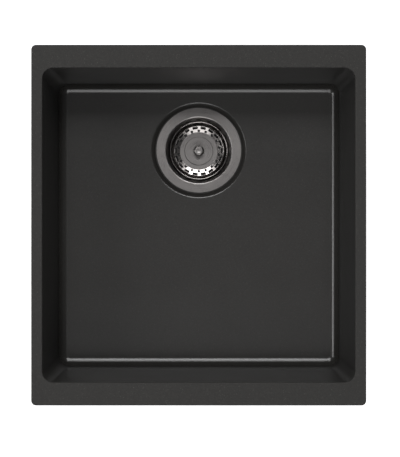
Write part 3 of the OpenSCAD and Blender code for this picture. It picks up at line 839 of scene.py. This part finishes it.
class SINK_OT_basket(bpy.types.Operator):
    """Makes the basket: rolled rim, two staggered rows of slots and a raised disc"""
    bl_idname = "sink.basket"
    bl_label = "Basket"
    columns = 10

    def execute(self, context):
        settings = context.scene.sink
        sizes = settings.strainer
        floor_z = BASKET_BOTTOM + sizes.basket_sheet
        shoulder_z = BASKET_BOTTOM + sizes.slope_height
        disc_z = floor_z + sizes.disc_height
        bend = 0.0006
        rim = radius("basket_shell")
        shoulder = [(0.0036, 0.0080), (0.0022, 0.0026), (0.0012, 0.0008), (0.0001, 0.00005), (0, 0)]
        bead = [(rim, BASKET_TOP - 1.6 * sizes.bead)]
        bead += arc(rim - sizes.bead, BASKET_TOP - sizes.bead, sizes.bead, 0, 180, 6)
        wall = [(sizes.shoulder_radius + out, shoulder_z + up) for out, up in shoulder]
        foot = (sizes.foot_radius, floor_z)
        rows = [self.on_slope(wall[-1], foot, share) for share in (0.02, 0.47, 0.54, 0.93)]
        base = [foot, (sizes.disc_radius + bend, floor_z),
                (sizes.disc_radius, disc_z), (sizes.stem_radius, disc_z)]
        bm = bmesh.new()
        spun(bm, bead + wall + rows + base, sizes.slots * self.columns, closed=False)
        settle(bm)
        self.cut_row(bm, sizes, rows[0], rows[1], 7, 0.5)
        self.cut_row(bm, sizes, rows[2], rows[3], 4, 0.0)
        for face in bm.faces:
            centre = face.calc_center_median() - DRAIN
            face.material_index = 1 if math.hypot(centre.x, centre.y) > sizes.foot_radius else 0
        finishes = (brushed_steel(settings), basket_steel(settings))
        sheet_piece("basket_sheet", bm, sizes.basket_sheet, finishes, "basket",
                    ["basket_shell"])
        return {"FINISHED"}

    @staticmethod
    def on_slope(upper, lower, share):
        return tuple(a + (b - a) * share for a, b in zip(upper, lower))

    def cut_row(self, bm, sizes, upper, lower, width, turn):
        """Cuts one row of slots, width columns wide, with rounded ends."""
        pitch = FULL_TURN / sizes.slots
        windows = []
        for i in range(sizes.slots):
            middle_angle = math.pi / 2 + (i + turn) * pitch
            faces = [face for face in bm.faces
                     if self.in_window(face, upper, lower, middle_angle, width / 2 / self.columns * pitch)]
            windows += bmesh.ops.dissolve_faces(bm, faces=faces)["region"]
        bmesh.ops.inset_individual(bm, faces=windows, thickness=0.0002, use_even_offset=True)
        corners = [vert for face in windows for vert in self.corners(face)]
        bmesh.ops.bevel(bm, geom=corners, offset=0.0012, offset_type="OFFSET", segments=4, profile=0.5,
                        affect="VERTICES", material=-1)
        holes = [face for face in bm.faces
                 if len(face.verts) > 12 and self.in_window(face, upper, lower)]
        bmesh.ops.delete(bm, geom=holes, context="FACES")

    @staticmethod
    def in_window(face, upper, lower, angle=None, half=None):
        """Whether a face lies between two radii, and near an angle if one is given."""
        centre = face.calc_center_median() - DRAIN
        if not lower[0] < math.hypot(centre.x, centre.y) < upper[0]:
            return False
        if angle is None:
            return True
        off = math.atan2(centre.y, centre.x) - angle
        off = (off + math.pi) % FULL_TURN - math.pi
        return abs(off) < half

    @staticmethod
    def corners(face):
        """The four sharpest corners of a face."""
        loops = sorted(face.loops, key=lambda loop: loop.calc_angle())[:4]
        return [loop.vert for loop in loops]


class SINK_OT_knob(bpy.types.Operator):
    """Makes the knob with its dished head, its foot and its hollow stem"""
    bl_idname = "sink.knob"
    bl_label = "Basket Knob"

    def execute(self, context):
        settings = context.scene.sink
        sizes = settings.strainer
        lowest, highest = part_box("basket_knob")
        r, stem, bore = sizes.knob_radius, sizes.stem_radius, 0.0033
        foot_z = BASKET_BOTTOM + sizes.basket_sheet + sizes.disc_height
        head_z = highest.z - 0.005
        dimple = [(0, highest.z - 0.0003), (0.0022, highest.z - 0.0002), (0.0034, highest.z)]
        crown = arc(r - 0.0018, highest.z - 0.0018, 0.0018, 90, 0, 6)
        waist = [(r, head_z + 0.0016), (stem - 0.0004, head_z - 0.0008), (stem - 0.0004, foot_z + 0.0024)]
        foot = [(r + 0.0006, foot_z + 0.0008), (r + 0.0006, foot_z), (stem, foot_z),
                (stem, lowest.z + 0.0003)]
        inside = [(stem - 0.0003, lowest.z), (bore, lowest.z), (bore, head_z), (0, head_z)]
        bm = bmesh.new()
        spun(bm, dimple + crown + waist + foot + inside, 64, closed=False)
        settle(bm)
        finished("knob", bm, (brushed_steel(settings),), "basket", ["basket_knob"])
        return {"FINISHED"}


class SINK_OT_seals(bpy.types.Operator):
    """Makes the stopper's seal and the outlet's gasket, and gives the other rubber rings their finish"""
    bl_idname = "sink.seals"
    bl_label = "Seals"

    def execute(self, context):
        settings = context.scene.sink
        rubber = black_rubber(settings)
        lowest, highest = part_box("stopper_seal")
        outer, stem = radius("stopper_seal"), settings.strainer.stem_radius
        bm = bmesh.new()
        top = highest.z
        groove = ((-0.001, 0), (0, -0.0006), (0.001, 0))
        ribs = [(r + out, top + up) for r in (0.017, 0.021, 0.025) for out, up in groove]
        lip = [(outer - 0.0016, top - 0.0004), (outer - 0.0004, lowest.z + 0.0014)]
        edge = arc(outer - 0.0006, lowest.z + 0.0006, 0.0006, 0, -90, 3)
        spun(bm, [(stem, lowest.z), (stem, top)] + ribs + [(outer - 0.004, top)] + lip + edge)
        settle(bm)
        finished("seal", bm, (rubber,), "basket", ["stopper_seal"])
        lowest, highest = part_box("outlet_gasket")
        outer, hole = radius("outlet_gasket"), settings.bowl.outlet_radius + 0.001
        swell = (highest.z - lowest.z) / 2
        bm = bmesh.new()
        side = arc(outer - swell, middle("outlet_gasket").z, swell, 90, -90, 8)
        spun(bm, [(hole, lowest.z), (hole, highest.z)] + side)
        settle(bm)
        finished("gasket", bm, (rubber,), "sink", ["outlet_gasket"])
        dressed("flange_gasket", rubber)
        dressed("cone_washer", rubber)
        return {"FINISHED"}


# The waste fitting

class SINK_OT_waste_body(bpy.types.Operator):
    """Makes the waste body: flange, chamber, funnel, threaded outlet, fins and the hub on its arms"""
    bl_idname = "sink.waste_body"
    bl_label = "Waste Body"

    def execute(self, context):
        settings = context.scene.sink
        sizes = settings.waste
        plastic = white_plastic(settings)
        lowest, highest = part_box("waste_body")
        self.shell(sizes, lowest, highest, plastic)
        self.thread(sizes, lowest, plastic)
        self.fins(sizes, highest, plastic)
        self.hub(sizes, plastic)
        return {"FINISHED"}

    def levels(self, sizes, highest):
        chamber_z = highest.z - sizes.chamber_height
        return chamber_z, chamber_z - sizes.funnel_height

    def shell(self, sizes, lowest, highest, plastic):
        outer = radius("waste_body")
        chamber_z, funnel_z = self.levels(sizes, highest)
        r, w = sizes.chamber_radius, sizes.wall
        core = sizes.thread_radius - sizes.thread_depth
        edge = 0.0006
        flange = [(r, highest.z), (outer - edge, highest.z), (outer, highest.z - edge),
                  (outer, highest.z - sizes.flange + edge), (outer - edge, highest.z - sizes.flange),
                  (r + w + 0.002, highest.z - sizes.flange), (r + w, highest.z - sizes.flange - 0.002)]
        side = [(r + w, chamber_z + 0.002), (r + w - 0.001, chamber_z - 0.0015)]
        spout = [(core + 0.0035, funnel_z - 0.0005), (core, funnel_z - 0.004),
                 (core, lowest.z + edge), (core - edge, lowest.z)]
        inside = [(sizes.bore_radius + edge, lowest.z), (sizes.bore_radius, lowest.z + edge),
                  (sizes.bore_radius, funnel_z), (r, chamber_z)]
        bm = bmesh.new()
        spun(bm, flange + side + spout + inside)
        settle(bm)
        finished("waste_shell", bm, (plastic,), "sink", ["waste_body"])

    def thread(self, sizes, lowest, plastic):
        """Winds the outlet's thread with one spin that climbs a pitch at each turn."""
        turns, steps = 8, 48
        core, crest, pitch = sizes.thread_radius - sizes.thread_depth, sizes.thread_radius, sizes.pitch
        start = lowest.z + pitch / 4
        bm = bmesh.new()
        root = core - 0.0003
        chain(bm, [(root, start), (core, start), (crest, start + 0.3 * pitch),
                   (crest, start + 0.5 * pitch), (core, start + 0.8 * pitch),
                   (root, start + 0.8 * pitch), (root, start)])
        bmesh.ops.remove_doubles(bm, verts=bm.verts, dist=1e-7)
        profile = list(bm.verts) + list(bm.edges)
        bmesh.ops.spin(bm, geom=profile, cent=DRAIN, axis=(0, 0, 1), dvec=(0, 0, pitch / steps),
                       angle=FULL_TURN * turns, steps=steps * turns)
        bmesh.ops.holes_fill(bm, edges=[edge for edge in bm.edges if edge.is_boundary], sides=8)
        settle(bm)
        finished("waste_thread", bm, (plastic,), "sink", sharp=25)

    def fins(self, sizes, highest, plastic):
        chamber_z, funnel_z = self.levels(sizes, highest)
        outer = sizes.chamber_radius + sizes.wall
        stand = 0.001
        top = highest.z - sizes.flange / 2
        outline = [(outer - 0.0015, top), (radius("waste_body") - stand, top), (outer + stand, chamber_z),
                   (sizes.thread_radius + stand, funnel_z), (sizes.thread_radius - sizes.wall, funnel_z),
                   (outer - 0.0015, chamber_z)]
        bm = bmesh.new()
        for i in range(sizes.fins):
            verts = [bm.verts.new((DRAIN.x + r, DRAIN.y - sizes.fin / 2, z)) for r, z in outline]
            verts += extruded(bm, [bm.faces.new(verts)], (0, sizes.fin, 0))
            turned(bm, verts, FULL_TURN * i / sizes.fins)
        bmesh.ops.recalc_face_normals(bm, faces=bm.faces)
        soften(bm, outer_edges(bm), 0.0005, 2)
        settle(bm)
        finished("waste_fins", bm, (plastic,), "sink")

    def hub(self, sizes, plastic):
        """The hub that holds the clamp nut, and its three arms."""
        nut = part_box("clamp_nut")
        bottom, top = nut[0].z, CUP_BOTTOM - 0.0018
        edge = 0.0006
        bm = bmesh.new()
        hole = radius("centre_screw") / 2 + 0.0003
        pocket = radius("clamp_nut") + 0.0001
        profile = [(pocket, bottom), (sizes.hub_radius - edge, bottom), (sizes.hub_radius, bottom + edge),
                   (sizes.hub_radius, top - edge), (sizes.hub_radius - edge, top), (hole, top),
                   (hole, nut[1].z), (pocket, nut[1].z)]
        spun(bm, profile, 48)
        for i in range(3):
            near = Vector((sizes.hub_radius - 0.001, -sizes.fin / 2, bottom))
            far = Vector((sizes.chamber_radius + sizes.wall / 2, sizes.fin / 2, top - sizes.fin))
            verts = block(bm, DRAIN + near, DRAIN + far)
            self.trim_to_funnel(verts, sizes)
            turned(bm, verts, math.pi / 2 + FULL_TURN * i / 3)
        settle(bm)
        finished("waste_hub", bm, (plastic,), "sink")

    def trim_to_funnel(self, verts, sizes):
        """Draws the lower outer end of an arm in to the funnel's slope."""
        chamber_z, funnel_z = self.levels(sizes, high("waste_body"))
        for vert in verts:
            reach = vert.co.x - DRAIN.x
            if reach > sizes.hub_radius and vert.co.z < chamber_z:
                share = (vert.co.z - funnel_z) / (chamber_z - funnel_z)
                inside = sizes.bore_radius + (sizes.chamber_radius - sizes.bore_radius) * share
                vert.co.x = DRAIN.x + inside + sizes.wall / 2


class SINK_OT_coupling_nut(bpy.types.Operator):
    """Makes the coupling nut with its lip, its plain bore and its finger grips"""
    bl_idname = "sink.coupling_nut"
    bl_label = "Coupling Nut"

    def execute(self, context):
        settings = context.scene.sink
        sizes = settings.waste
        lowest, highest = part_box("coupling_nut")
        r = sizes.nut_radius
        thread = sizes.thread_radius + 0.0002
        lip_hole = 0.021
        edge = 0.0008
        profile = [(lip_hole, lowest.z)] + arc(r - 0.002, lowest.z + 0.002, 0.002, 270, 360, 4)
        profile += [(r, highest.z - edge), (r - edge, highest.z)]
        profile += [(thread + edge, highest.z), (thread, highest.z - edge)]
        profile += [(thread, lowest.z + sizes.nut_lip), (lip_hole, lowest.z + sizes.nut_lip)]
        bm = bmesh.new()
        spun(bm, profile)
        grip_end = 0.0025
        for i in range(sizes.grips):
            verts = block(bm, (DRAIN.x + r - 0.002, DRAIN.y - sizes.grip / 2, lowest.z + grip_end),
                          (highest.x, DRAIN.y + sizes.grip / 2, highest.z - grip_end))
            rounded = soften(bm, linked_edges(verts), 0.0009, 3)["verts"]
            turned(bm, rounded, FULL_TURN * i / sizes.grips)
        settle(bm)
        finished("nut", bm, (white_plastic(settings),), "nut", ["coupling_nut"])
        return {"FINISHED"}


# The fixings under the rim

class SINK_OT_arms(bpy.types.Operator):
    """Makes the four slotted support arms, each on its own body"""
    bl_idname = "sink.arms"
    bl_label = "Support Arms"

    def execute(self, context):
        settings = context.scene.sink
        sizes = settings.fixing
        for node in ARMS:
            self.arm(node, sizes, zinc_plate(settings))
        return {"FINISHED"}

    def arm(self, node, sizes, finish):
        """An arm is a flat outline with two holes, filled, thickened and rounded at its edges."""
        lowest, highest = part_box(node)
        pivot = SINK_OT_rim_bosses.pivot(node, sizes)
        inwards = -1 if pivot.x > 0 else 1
        outwards = 1 if pivot.y > 0 else -1
        half = (highest.y - lowest.y) / 2
        reach = highest.x - lowest.x - sizes.tail
        slot_run = (sizes.slot_length - sizes.slot_width) / 2
        slot_x = reach - half - sizes.slot_length / 2 + sizes.slot_width / 2
        corner = math.degrees(math.asin(half / sizes.tail))
        outline = [(-sizes.tail, half)]
        outline += arc(reach - half, 0, half, 90, -90, 12)
        outline += arc(0, 0, sizes.tail, 180 + corner, 180, 8)
        slot = arc(slot_x + slot_run, 0, sizes.slot_width / 2, 90, -90, 10)
        slot += arc(slot_x - slot_run, 0, sizes.slot_width / 2, 270, 90, 10)
        pivot_hole = arc(0, 0, sizes.pivot_radius, 0, 348.75, 31)
        bm = bmesh.new()
        for loop in (outline, slot, pivot_hole):
            places = [(pivot.x + inwards * x, pivot.y + outwards * y, lowest.z) for x, y in loop]
            verts = [bm.verts.new(place) for place in places]
            for pair in zip(verts, verts[1:] + verts[:1]):
                bm.edges.new(pair)
        extruded(bm, filled(bm, bm.edges), (0, 0, highest.z - lowest.z))
        settle(bm)
        rims = [edge for edge in outer_edges(bm, 60) if climb(edge) < SAME_PLACE]
        soften(bm, rims, 0.0003, 2)
        body = node.replace("arm_", "") + "_arm"
        finished(node + "_plate", bm, (finish,), body, [node])


class SINK_OT_arm_fasteners(bpy.types.Operator):
    """Makes the hexagon screws and washers that hold the arms"""
    bl_idname = "sink.arm_fasteners"
    bl_label = "Arm Screws and Washers"

    def execute(self, context):
        settings = context.scene.sink
        sizes = settings.fixing
        lowest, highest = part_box("arm_screws")
        under, over = (corner.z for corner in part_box("arm_washers"))
        head_top = lowest.z + sizes.head_height
        shank = [(0, highest.z), (0.0024, highest.z), (0.00295, highest.z - 0.0006),
                 (0.00295, head_top - 0.0005), (0, head_top - 0.0005)]
        hole, edge, outer = 0.0033, 0.0002, sizes.washer_radius
        ring = [(hole, under), (outer - edge, under), (outer, under + edge),
                (outer, over - edge), (outer - edge, over), (hole, over)]
        screws, rings = bmesh.new(), bmesh.new()
        for node in ARMS:
            shift = SINK_OT_rim_bosses.pivot(node, sizes) - DRAIN
            self.head(screws, sizes, lowest.z, head_top, shift)
            shifted(screws, spun(screws, shank, 32, closed=False), shift)
            shifted(rings, spun(rings, ring, 48), shift)
        settle(screws)
        settle(rings)
        finished("screws", screws, (zinc_plate(settings),), "sink", ["arm_screws"])
        finished("washers", rings, (zinc_plate(settings),), "sink", ["arm_washers"])
        return {"FINISHED"}

    def head(self, bm, sizes, bottom, top, shift):
        """A hexagon head whose lower corners are chamfered by an inset."""
        centre = DRAIN + shift
        matrix = Matrix.Translation(centre + Vector((0, 0, (bottom + top) / 2)))
        made = bmesh.ops.create_cone(bm, cap_ends=True, segments=6, radius1=sizes.head_radius,
                                     radius2=sizes.head_radius, depth=top - bottom, matrix=matrix)["verts"]
        turned(bm, made, math.radians(30), centre)
        cap = min({face for vert in made for face in vert.link_faces}, key=level_of)
        chamfer = 0.0006
        for vert in cap.verts:
            vert.co.z += chamfer
        bmesh.ops.inset_region(bm, faces=[cap], thickness=0.0010, depth=chamfer)


class SINK_OT_small_metal(bpy.types.Operator):
    """Gives the small metal pieces that keep their CAD shape their finishes"""
    bl_idname = "sink.small_metal"
    bl_label = "Small Metal Pieces"

    def execute(self, context):
        settings = context.scene.sink
        for node in ("centre_screw", "centre_washer", "seal_retainer", "stem_clip", "grip_ring"):
            dressed(node, turned_steel(settings))
        for node in ("rim_inserts", "clamp_nut"):
            dressed(node, turned_brass(settings))
        return {"FINISHED"}


# The stage

class SINK_OT_stage(bpy.types.Operator):
    """Makes the camera straight above, the pale floor, the soft lamps and the world"""
    bl_idname = "sink.stage"
    bl_label = "Stage"

    def execute(self, context):
        sizes = context.scene.sink.stage
        scene = context.scene
        scene.view_settings.view_transform = "Standard"
        self.camera(scene, sizes)
        self.floor(sizes)
        self.lamps(sizes)
        self.world(scene, sizes)
        return {"FINISHED"}

    def camera(self, scene, sizes):
        lens = bpy.data.cameras.new("camera")
        lens.sensor_width = 36
        lens.lens = lens.sensor_width * sizes.camera_height / sizes.view_height
        lens.clip_end = 30
        camera = bpy.data.objects.new("camera", lens)
        camera.location = (sizes.camera_right, sizes.camera_back, sizes.camera_height)
        scene.collection.objects.link(camera)
        scene.camera = camera

    def floor(self, sizes):
        bm = bmesh.new()
        level = Matrix.Translation((0, 0, CAD_BOX[0].z - 0.001))
        bmesh.ops.create_circle(bm, cap_ends=True, segments=64, radius=sizes.floor_radius, matrix=level)
        mesh = bpy.data.meshes.new("floor")
        bm.to_mesh(mesh)
        bm.free()
        floor = bpy.data.objects.new("floor", mesh)
        bpy.context.scene.collection.objects.link(floor)
        mesh.materials.append(self.floor_finish(sizes))

    def floor_finish(self, sizes):
        """White to the camera and in reflections, with the object's shadow kept."""
        finish = Finish("floor_finish", Roughness=0.9, Specular_IOR_Level=0.1)
        finish.shader.inputs["Base Color"].default_value = (0.8, 0.8, 0.8, 1)
        outputs = finish.node("LightPath").socket.node.outputs
        kinds = ("Is Camera Ray", "Is Glossy Ray", "Is Transmission Ray")
        rays = [Signal(finish, outputs[kind]) for kind in kinds]
        matt = Signal(finish, finish.shader.outputs[0])
        clear = finish.node("Math", {"operation": "MAXIMUM"}, {0: rays[0], 1: rays[1]})
        clear = finish.node("Math", {"operation": "MAXIMUM"}, {0: clear, 1: rays[2]})
        glow = finish.node("Emission", sockets={0: (1, 1, 1, 1), 1: sizes.glow})
        both = finish.node("AddShader", sockets={0: matt, 1: glow})
        shown = finish.node("MixShader", sockets={0: clear, 1: matt, 2: both})
        output = finish.tree.nodes["Material Output"]
        finish.feed(output.inputs["Surface"], shown)
        return finish.material

    def lamps(self, sizes):
        self.lamp("rear", 24, 90, 2.4, (1.10, 0.50), sizes.rear)
        self.lamp("rear_low", 43.5, 90, 2.4, (1.10, 0.70), sizes.rear_low)
        self.lamp("front_high", 17, 270, 2.4, (1.10, 0.50), sizes.front_high)
        self.lamp("front", 27.5, 270, 2.4, (1.10, 0.36), sizes.front)
        self.lamp("front_low", 42, 270, 2.4, (1.10, 0.60), sizes.front_low)
        self.lamp("left", 38.5, 188, 2.4, (1.10, 0.80), sizes.left)
        self.lamp("overhead", 4, 90, 3.4, (1.15, 1.15), sizes.overhead)

    def lamp(self, name, polar, turn, distance, size, power):
        """A rectangular soft lamp that faces the sink, at two angles in degrees and a distance."""
        light = bpy.data.lights.new(name, "AREA")
        light.shape = "RECTANGLE"
        light.size, light.size_y = size
        light.energy = power
        lamp = bpy.data.objects.new(name, light)
        down = Matrix.Rotation(math.radians(polar), 3, "Y")
        around = Matrix.Rotation(math.radians(turn), 3, "Z")
        lamp.location = around @ down @ Vector((0, 0, distance))
        aim = Vector((0, 0, -0.1)) - lamp.location
        lamp.rotation_euler = aim.to_track_quat("-Z", "Y").to_euler()
        bpy.context.scene.collection.objects.link(lamp)

    def world(self, scene, sizes):
        world = bpy.data.worlds.new("studio")
        world.use_nodes = True
        scene.world = world
        tree = world.node_tree
        tree.nodes["Background"].inputs["Color"].default_value = (1, 1, 1, 1)
        tree.nodes["Background"].inputs["Strength"].default_value = sizes.ambient


class SINK_PT_panel(bpy.types.Panel):
    """Lists the makers of the sink's pieces"""
    bl_label = "Sink"
    bl_idname = "SINK_PT_panel"
    bl_space_type = "VIEW_3D"
    bl_region_type = "UI"
    bl_category = "Sink"

    def draw(self, context):
        for operator in OPERATORS:
            self.layout.operator(operator.bl_idname)


GROUPS = (BowlSizes, StrainerSizes, WasteSizes, FixingSizes, StageSizes, SinkSettings)
OPERATORS = (
    SINK_OT_stage, SINK_OT_bowl, SINK_OT_rim_bosses, SINK_OT_strainer_cup, SINK_OT_basket, SINK_OT_knob,
    SINK_OT_seals, SINK_OT_waste_body, SINK_OT_coupling_nut, SINK_OT_arms, SINK_OT_arm_fasteners,
    SINK_OT_small_metal,
)


def register():
    for group in GROUPS + OPERATORS + (SINK_PT_panel,):
        bpy.utils.register_class(group)
    bpy.types.Scene.sink = PointerProperty(type=SinkSettings)


def unregister():
    del bpy.types.Scene.sink
    for group in reversed(GROUPS + OPERATORS + (SINK_PT_panel,)):
        bpy.utils.unregister_class(group)


def main():
    register()
    for operator in OPERATORS:
        category, name = operator.bl_idname.split(".")
        getattr(getattr(bpy.ops, category), name)()


if __name__ == "__main__":
    main()
